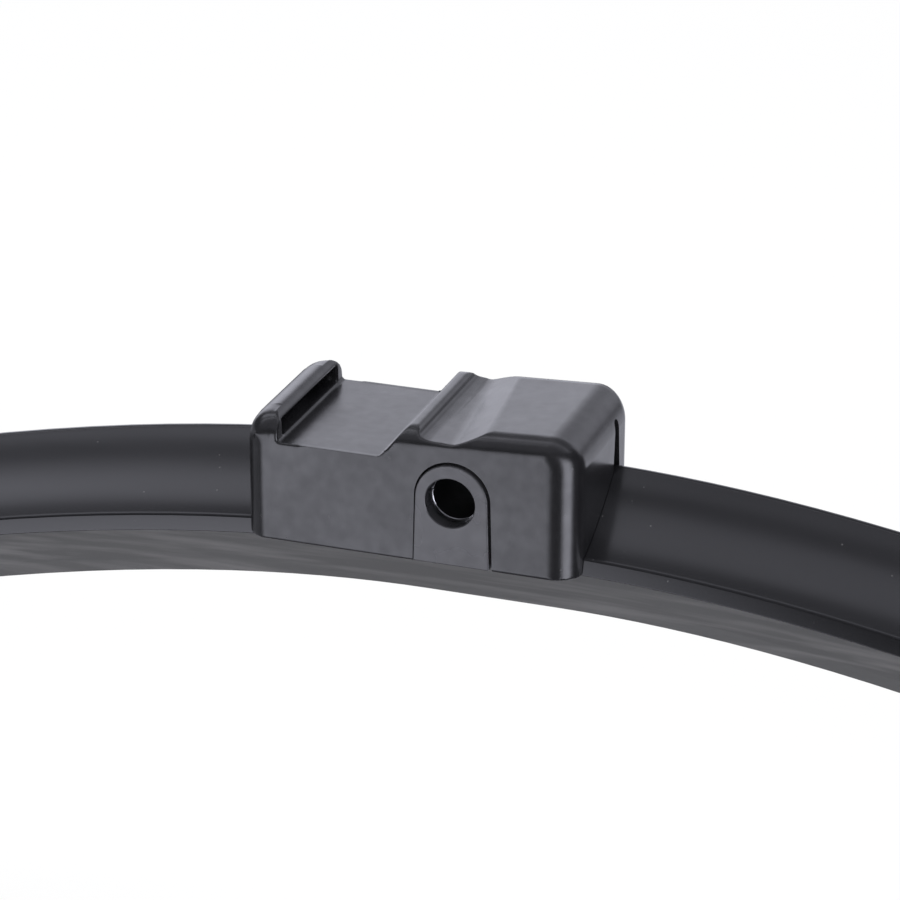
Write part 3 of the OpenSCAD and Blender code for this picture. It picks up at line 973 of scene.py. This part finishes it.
    def groove_plan(self) -> BMesh:
        """Draws the plan of the groove, whose front end turns away from the rib."""
        left, r = self.crease_x - self.plan_inset, self.groove_corner
        right = self.hump_start + self.over
        front, far = self.half - r - self.groove_front, self.half + self.over
        outline = Outline(Plane.PLAN, (left, -front))
        outline.round((left + r, -front), 90, 10)
        outline.to((left + r, -far), (right, -far), (right, far), (left, far))
        return outline.solid(self.groove_floor - self.through, self.hump_top + 2 * self.over)

    def at_lip_end(self, place: Vector) -> bool:
        """Tells whether a place is at one of the lip's two rounded ends."""
        inside = place.x < self.tray_start - self.blunt_inset and place.z > self.blunt_low
        return inside and abs(place.y) > self.blunt_half

    def recess_tool(self) -> BMesh:
        """Draws the recess in the lip's inner wall, which the strap's end hooks under."""
        inner, outer = self.tray_start - self.recess_depth, self.tray_start + self.through
        outline = Outline.box(
            Plane.SIDE, (inner, self.recess_low), (outer, self.recess_high)
        )
        return outline.solid(-self.recess_half, self.recess_half)

    def trim_tool(self) -> BMesh:
        """Draws a slab just over the tray, which trims the burr along its open edges."""
        low, high = self.tray + self.trim_lift, self.tray + self.through
        left, right = self.tray_start + self.trim_left, self.tray_end - self.trim_right
        outline = Outline.box(Plane.SIDE, (left, low), (right, high))
        return outline.solid(-self.half - self.over, self.half + self.over)

    def room_tool(self) -> BMesh:
        """Draws the room inside the cover, a wall below its outer faces."""
        wall, low = self.wall, self.bottom - self.through
        left, right, floor = self.lip_x + wall, self.hump_x - wall, self.groove_floor - wall
        outline = Outline(Plane.SIDE, (left, low)).to(
            (left, self.tray - wall), (self.tray_end + wall / 2, self.tray - wall),
            (self.crest_x + wall / 2, floor), (self.hump_start - wall, floor),
            (self.hump_start + wall, self.hump_top - wall),
            (self.flat_end, self.hump_top - wall),
            (right, self.hump_top - self.end_radius), (right, low),
        )
        return outline.solid(-self.half + wall, self.half - wall)

    def window_tool(self) -> BMesh:
        """Draws the arched window for the ears, open at the foot."""
        (x, z), r = self.window_centre, self.window_radius
        foot, low = r + self.window_flare, self.bottom - self.window_foot
        outline = Outline(Plane.SIDE, (x + foot, low)).to((x + r, z))
        outline.round((x, z), 180, 40).to((x - foot, low))
        return outline.solid(-self.half - self.over, self.half + self.over)

    def end_tool(self, x: float) -> BMesh:
        """Draws the opening for the spoiler in one end wall.

        Args:
            x: Place of the end wall's outer face.

        Returns:
            The solid that cuts the opening.
        """
        bow, half = self.spoiler.bow, self.spoiler.width / 2 + self.play
        far = abs(x - bow.shift) - bow.straight_half
        drop = far * far / (2 * bow.bow_radius)
        outline = Outline(Plane.END, (half, -self.through)).to((half, -self.play))
        self.spoiler.skin(outline, self.play).to((-half, -self.through))
        inward = math.copysign(self.wall + self.through, -x)
        bm = outline.solid(*sorted((x + inward, x + math.copysign(self.through, x))))
        bmesh.ops.translate(bm, vec=(0, 0, bow.base - drop), verts=bm.verts[:])
        return bm

    def slit_tool(self) -> BMesh:
        """Draws the tall slit above the ridge in the hump's end wall."""
        y, foot = self.spoiler.ridge_back, self.slit_foot
        outline = Outline(Plane.END, (y + foot, self.slit_low))
        outline.to((y + self.slit_head, self.slit_top)).round((y, self.slit_top), 180, 10)
        outline.to((y - foot, self.slit_low))
        return outline.solid(self.hump_x - self.wall - self.through, self.hump_x + self.through)

    def slit_room(self) -> BMesh:
        """Draws the thinned wall behind the slit, so that the slit looks into the dark."""
        y, high = self.spoiler.ridge_back, self.slit_top + self.slit_room_rise
        outline = Outline.box(
            Plane.END, (y - self.slit_room_front, self.slit_low), (y + self.slit_room_back, high)
        )
        return outline.solid(
            self.hump_x - self.wall - self.through, self.hump_x - self.slit_wall
        )

    def build(self, finish: bpy.types.Material) -> None:
        """Makes the cover.

        Args:
            finish: Its material.
        """
        obj = self.block()
        groove = to_object(self.groove_tool(), "groove")
        carve(groove, self.groove_plan(), Cut.KEEP)
        carve(obj, self.tray_tool())
        carve(obj, groove)
        carve(obj, self.recess_tool())
        melt(obj, self.grid, self.smoothing, self.at_lip_end, self.blunting)
        for tool in (
            self.trim_tool(), self.room_tool(), self.window_tool(), self.end_tool(self.lip_x),
            self.end_tool(self.hump_x), self.slit_tool(), self.slit_room(),
        ):
            carve(obj, tool)
        present(obj, finish, ["connector_cover"], crease=50)


@dataclass
class Carrier:
    """Moulded carrier: two plates, two webs and the arched ears seen in the windows."""

    half_length: float = 11.0
    plate_inner: float = 8.5
    plate_outer: float = 9.3
    outer: float = 10.9
    foot: float = -7.8
    bottom: float = -8.0
    top: float = 2.5
    web: float = 1.4
    web_bottom: float = -4.55
    ear_centre: Point = (0.14, 0.3)
    ear_radius: float = 4.52
    ear_flare: float = 0.25
    ear_round: float = 0.18
    web_round: float = 0.15
    bore: float = 3.1
    chamfer: float = 0.2
    over: float = 0.2

    def bore_tool(self, near: float, far: float, depth: float, middle: float) -> BMesh:
        """Draws a round tool along the bore.

        Args:
            near: Radius at the end nearer to the carrier's middle.
            far: Radius at the other end.
            depth: Length.
            middle: Place of its middle on Y.

        Returns:
            The closed solid.
        """
        bm = bmesh.new()
        outward = math.radians(90 if middle < 0 else -90)
        bmesh.ops.create_cone(
            bm, cap_ends=True, segments=96, radius1=near, radius2=far, depth=depth,
            matrix=Matrix.Translation((0, middle, 0)) @ Matrix.Rotation(outward, 4, "X"),
        )
        return bm

    def ear(self, side: int) -> bpy.types.Object:
        """Makes one arched ear with its chamfered bore.

        Args:
            side: -1 for the front ear and 1 for the rear one.

        Returns:
            The ear.
        """
        (x, z), r = self.ear_centre, self.ear_radius
        foot = r + self.ear_flare
        outline = Outline(Plane.SIDE, (x + foot, self.bottom)).to((x + r, z))
        outline.round((x, z), 180, 48).to((x - foot, self.bottom))
        solid = outline.solid(*sorted((side * self.plate_inner, side * self.outer)))
        obj = to_object(solid, "carrier_ear_front" if side < 0 else "carrier_ear_rear")
        soften(obj, self.ear_round, degrees=40, segments=3)
        carve(obj, self.bore_tool(self.bore, self.bore, 4 * self.outer, 0))
        carve(obj, self.bore_tool(
            self.bore - self.over, self.bore + self.chamfer + self.over,
            self.chamfer + 2 * self.over, side * self.outer,
        ))
        return obj

    def plate(self, side: int) -> bpy.types.Object:
        """Makes one side plate, which an ear stands on.

        Args:
            side: -1 for the front plate and 1 for the rear one.

        Returns:
            The plate.
        """
        outline = Outline.box(
            Plane.SIDE, (-self.half_length, self.foot), (self.half_length, self.top)
        )
        solid = outline.solid(*sorted((side * self.plate_inner, side * self.plate_outer)))
        obj = to_object(solid, "carrier_plate_front" if side < 0 else "carrier_plate_rear")
        carve(obj, self.bore_tool(self.bore, self.bore, 4 * self.outer, 0))
        return obj

    def cross_web(self, side: int) -> bpy.types.Object:
        """Makes one web, which joins the plates across an end.

        Args:
            side: -1 for the left web and 1 for the right one.

        Returns:
            The web.
        """
        outer, inner = side * self.half_length, side * (self.half_length - self.web)
        outline = Outline.box(Plane.SIDE, (outer, self.web_bottom), (inner, self.top))
        solid = outline.solid(-self.plate_inner, self.plate_inner)
        obj = to_object(solid, "carrier_web_left" if side < 0 else "carrier_web_right")
        soften(obj, self.web_round)
        return obj

    def build(self, finish: bpy.types.Material) -> None:
        """Makes the carrier.

        Args:
            finish: Its material.
        """
        pieces = [self.ear(-1), self.ear(1)]
        for side in (-1, 1):
            pieces += [self.plate(side), self.cross_web(side)]
        for obj in pieces:
            present(obj, finish, ["connector_carrier"])


@dataclass
class Bush:
    """Turned steel bush for the arm's side pin."""

    bore: float = 2.9
    radius: float = 3.8
    half: float = 8.5
    chamfer: float = 0.08

    def build(self, finish: bpy.types.Material, turned: bpy.types.Material) -> None:
        """Makes the bush as a turned ring.

        Args:
            finish: Its matte black material, painted shade for the bore and outer wall.
            turned: The bare steel of its two faced ends.
        """
        c, end, bore, radius = self.chamfer, self.half, self.bore, self.radius
        outline = Outline(Plane.END, (-end, bore + c)).to(
            (-end + c, bore), (end - c, bore), (end, bore + c), (end, radius - c),
            (end - c, radius), (-end + c, radius), (-end, radius - c),
        )
        bm = outline.face()
        ring = bm.edges[:]
        bmesh.ops.delete(bm, geom=bm.faces[:], context="FACES_ONLY")
        bmesh.ops.spin(
            bm, geom=ring + bm.verts[:], cent=(0, 0, 0), axis=(0, 1, 0), dvec=(0, 0, 0),
            angle=2 * math.pi, steps=96, use_merge=True, use_normal_flip=False,
            use_duplicate=False,
        )
        bmesh.ops.remove_doubles(bm, verts=bm.verts[:], dist=NEAR)
        bmesh.ops.recalc_face_normals(bm, faces=bm.faces[:])
        obj = to_object(bm, "bush_ring")
        present(obj, finish, ["pivot_bush"])
        obj.data.materials.append(turned)
        # The bore and outer wall take the painted shade, the faced ends bare steel
        for face in obj.data.polygons:
            face.material_index = int(abs(face.normal.y) > 0.5)


@dataclass
class EndCap:
    """Moulded cap that closes the end of the blade round the spoiler and the rails."""

    spoiler: Spoiler
    length: float = 19.0
    wall: float = 0.8
    play: float = 0.3
    tip_round: float = 6.0
    pocket_end: float = 9.0
    slot_end: float = 1.15
    grid: float = 0.25
    smoothing: int = 5
    over: float = 1.0

    def build(self, name: str, side: int, finish: bpy.types.Material) -> None:
        """Makes one cap.

        Args:
            name: Name of the CAD node.
            side: 1 for the right end and -1 for the left end.
            finish: Its material.
        """
        grow = self.play + self.wall
        half, top = self.spoiler.width / 2 + grow, self.spoiler.height + grow
        body = self.spoiler.skin(Outline(Plane.END, (half, -grow)), grow).solid(-self.length, 0)
        obj = to_object(body, name + "_shell")
        r, start = self.tip_round, -self.length - self.over
        tool = Outline(Plane.SIDE, (start, -grow - self.over)).to((0, -grow - self.over))
        tool.to((0, top - r)).round((-r, top - r), 90, 16).to((start, top + LIFT))
        carve(obj, tool.solid(-half - self.over, half + self.over), Cut.KEEP)
        wide = half + LIFT
        tool = Outline(Plane.PLAN, (start, -wide)).to((-r, -wide)).round((-r, r - wide), 90, 16)
        tool.to((0, wide - r)).round((-r, wide - r), 90, 16).to((start, wide))
        carve(obj, tool.solid(-grow - 2 * self.over, top + 2 * self.over), Cut.KEEP)
        melt(obj, self.grid, self.smoothing)
        s = self.spoiler
        pocket = s.skin(Outline(Plane.END, (s.width / 2 + self.play, -self.play)), self.play)
        carve(obj, pocket.solid(start, -self.pocket_end))
        for low, high, wide, end in (
            (s.slot_floor, s.slot_top, s.slot_half, self.slot_end),
            (-grow - self.over, s.room_top, s.room_half, self.wall),
        ):
            room = Outline.box(Plane.END, (-wide, low), (wide, high))
            carve(obj, room.solid(start, -end))
        bow = s.bow
        turn = bow.place(bow.blade_length / 2)
        if side < 0:
            turn = bow.place(-bow.blade_length / 2) @ Matrix.Scale(-1, 4, (1, 0, 0))
        obj.data.transform(Matrix.Scale(MM, 4) @ turn @ Matrix.Scale(1 / MM, 4))
        if side < 0:
            obj.data.flip_normals()
        present(obj, finish, [name], crease=50)


# The studio


@dataclass
class Studio:
    """Pale floor, soft light and the camera."""

    azimuth: float = 19.36
    elevation: float = 23.031
    roll: float = 0.105
    distance: float = 419.680
    focal_pixels: float = 3501.389
    offset_x: float = 3.5575
    offset_y: float = -2.2867
    picture: int = 900
    sensor: float = 36.0
    floor_height: float = -75.2
    floor_half: float = 3000.0
    paper: str = "e6e6e6"
    floor_glow: float = 0.92
    room_glow: float = 0.05
    light_tint: str = "f1f2ff"
    strip_skew: float = 0.12
    strip_fade: float = 0.4
    ceiling: Point = (0.45, 0.6)

    def camera(self) -> None:
        """Places the camera where the photograph was taken from."""
        a, e, r = (math.radians(v) for v in (self.azimuth, self.elevation, self.roll))
        back = Vector((math.sin(a) * math.cos(e), -math.cos(a) * math.cos(e), math.sin(e)))
        right = (-back).cross(Vector((0, 0, 1))).normalized()
        up = right.cross(-back)
        right, up = math.cos(r) * right + math.sin(r) * up, math.cos(r) * up - math.sin(r) * right
        spot = back * self.distance - right * self.offset_x - up * self.offset_y
        data = bpy.data.cameras.new("camera")
        data.sensor_width = self.sensor
        data.lens = self.sensor * self.focal_pixels / self.picture
        data.clip_start = 0.01
        obj = bpy.data.objects.new("camera", data)
        obj.matrix_world = Matrix.Translation(spot * MM) @ Matrix(
            (right, up, back)
        ).transposed().to_4x4()
        bpy.context.scene.collection.objects.link(obj)
        bpy.context.scene.camera = obj

    def floor(self) -> None:
        """Lays the pale paper floor just below the tips of the bow."""
        bm = bmesh.new()
        bmesh.ops.create_grid(bm, x_segments=1, y_segments=1, size=self.floor_half)
        bmesh.ops.translate(bm, vec=(0, 0, self.floor_height), verts=bm.verts[:])
        obj = to_object(bm, "floor")
        material = bpy.data.materials.new("white_background_paper")
        material.use_nodes = True
        tree = material.node_tree
        tree.nodes.clear()
        path = add_node(tree, "ShaderNodeLightPath").outputs["Is Camera Ray"]
        paper = add_node(tree, "ShaderNodeBsdfDiffuse", {}, {"Color": shade(self.paper)})
        white = add_node(tree, "ShaderNodeEmission", {}, {"Color": shade("ffffff")})
        seen = reckon(tree, "MULTIPLY", path, self.floor_glow)
        both = add_node(
            tree, "ShaderNodeMixShader", {}, {0: seen, 1: paper.outputs[0], 2: white.outputs[0]}
        )
        add_node(tree, "ShaderNodeOutputMaterial", {}, {"Surface": both.outputs[0]})
        obj.data.materials.append(material)
        obj.visible_glossy = False

    def window(
        self, tree: Tree, limits: Iterable[tuple[Socket, float, float]], strength: float
    ) -> Socket:
        """Adds light that fills the directions inside all its soft limits.

        Args:
            tree: The world's node tree.
            limits: For each limit a socket, where the light starts and where it is full.
            strength: Strength of the full light.

        Returns:
            Socket with the light.
        """
        product: Socket | float = strength
        for socket, start, stop in limits:
            share = spread(tree, socket, (start, stop), kind="SMOOTHSTEP")
            product = reckon(tree, "MULTIPLY", share, product)
        return product

    def panel(self, tree: Tree, turn: Socket, height: Socket, spec: Sequence[float]) -> Socket:
        """Adds one soft panel of light to the world.

        Args:
            tree: The world's node tree.
            turn: Socket with the direction's turn about Z, in degrees.
            height: Socket with the direction's height above the horizon, in degrees.
            spec: Middle turn, half width, lowest and highest height, softness in degrees,
                and strength.

        Returns:
            Socket with the panel's light.
        """
        middle, wide, low, high, soft, strength = spec
        away = reckon(tree, "SUBTRACT", turn, middle)
        size = reckon(tree, "ABSOLUTE", reckon(tree, "WRAP", away, 180.0, -180.0))
        limits = (
            (size, wide + soft, wide - soft), (height, low - soft, low + soft),
            (height, high + soft, high - soft),
        )
        return self.window(tree, limits, strength)

    def world(self) -> None:
        """Makes the soft panels and the dim room that the surfaces mirror."""
        world = bpy.data.worlds.new("studio_room")
        bpy.context.scene.world = world
        world.use_nodes = True
        tree = world.node_tree
        tree.nodes.clear()
        direction = add_node(tree, "ShaderNodeTexCoord").outputs["Generated"]
        x, y, z = add_node(tree, "ShaderNodeSeparateXYZ", {}, {0: direction}).outputs
        turn = reckon(tree, "ARCTAN2", x, reckon(tree, "MULTIPLY", y, -1.0))
        turn = reckon(tree, "DEGREES", turn)
        rise = reckon(tree, "DEGREES", reckon(tree, "ARCSINE", z))
        # Turn from the front towards the right, half width, heights, softness, strength
        panels = (
            (180.0, 46.0, 7.0, 31.0, 8.0, 1.06),
            (-148.0, 20.0, 4.0, 31.0, 7.0, 0.66),
            (-148.0, 20.0, -8.0, 8.0, 5.0, 1.0),
            (-25.0, 12.0, -48.0, -2.0, 7.0, 2.85),
            (54.0, 17.0, -50.0, 8.0, 7.0, 4.6),
            (165.0, 22.0, -60.0, 0.0, 7.0, 0.9),
            (-95.0, 45.0, -50.0, 0.0, 10.0, 0.3),
        )
        # Strips of the ceiling along the blade: from front to back, softness, where they
        # fade out towards the right, strength
        strips = (
            (-0.23, -0.11, 0.02, 2.0, 0.5),
            (-0.2, -0.11, 0.02, -0.1, 0.9),
            (-0.002, 0.255, 0.014, 2.0, 0.8),
            (0.06, 0.22, 0.04, -0.1, 0.6),
            (-1.0, 1.0, 0.1, 2.0, 0.24),
        )
        aside = reckon(tree, "MULTIPLY_ADD", x, self.strip_skew, y)
        lights = [self.panel(tree, turn, rise, spec) for spec in panels]
        for start, stop, soft, right, strength in strips:
            limits = (
                (aside, start - soft, start + soft), (aside, stop + soft, stop - soft),
                (x, right, right - self.strip_fade), (z, *self.ceiling),
            )
            lights.append(self.window(tree, limits, strength))
        total: Socket | float = self.room_glow
        for lit in lights:
            total = reckon(tree, "ADD", lit, total)
        light = add_node(
            tree, "ShaderNodeBackground", {},
            {"Color": shade(self.light_tint), "Strength": total},
        )
        seen = add_node(tree, "ShaderNodeBackground", {}, {"Color": shade("ffffff")})
        path = add_node(tree, "ShaderNodeLightPath").outputs["Is Camera Ray"]
        both = add_node(
            tree, "ShaderNodeMixShader", {}, {0: path, 1: light.outputs[0], 2: seen.outputs[0]}
        )
        add_node(tree, "ShaderNodeOutputWorld", {}, {"Surface": both.outputs[0]})

    def lamp(self, name: str, spot: Sequence[float], size: float, watts: float) -> None:
        """Adds a soft lamp that lights the object without a mirror image.

        Args:
            name: Name of the lamp.
            spot: Place in millimetres.
            size: Side of its square in millimetres.
            watts: Power.
        """
        data = bpy.data.lights.new(name, "AREA")
        data.shape = "SQUARE"
        data.size = size * MM
        data.energy = watts
        obj = bpy.data.objects.new(name, data)
        place = Vector(spot) * MM
        turn = place.to_track_quat("Z", "Y").to_matrix().to_4x4()
        obj.matrix_world = Matrix.Translation(place) @ turn
        obj.visible_glossy = False
        bpy.context.scene.collection.objects.link(obj)

    def build(self) -> None:
        """Sets up camera, floor, world and lamps."""
        self.camera()
        self.floor()
        self.world()
        self.lamp("lamp_top", (-150, 250, 900), 700, 9.0)
        self.lamp("lamp_front", (100, -900, 350), 600, 5.0)
        bpy.context.scene.view_settings.view_transform = "Standard"
        LOG.info("studio ready")


def dress_nodes(finishes: Finishes) -> None:
    """Gives the CAD nodes that stay their materials.

    Args:
        finishes: All materials of the blade.
    """
    for node, finish in (
        ("rail_bracket", finishes.zinc), ("rail_front", finishes.spring),
        ("rail_rear", finishes.spring),
    ):
        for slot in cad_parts[node].material_slots:
            slot.material = finish
        LOG.info("%s keeps its CAD mesh", node)


def main() -> None:
    """Builds and dresses every piece of the blade in its studio."""
    logging.basicConfig(level=logging.INFO, format="%(name)s: %(message)s")
    Studio().build()
    finishes = Finishes()
    bow = Bow()
    spoiler = Spoiler(bow)
    Cover(spoiler).build(finishes.cover)
    Carrier().build(finishes.carrier)
    Bush().build(finishes.bush, finishes.turned)
    spoiler.build(finishes.spoiler)
    Rubber(bow).build(finishes.rubber)
    cap = EndCap(spoiler)
    cap.build("end_cap_left", -1, finishes.cover)
    cap.build("end_cap_right", 1, finishes.cover)
    dress_nodes(finishes)


if __name__ == "__main__":
    main()
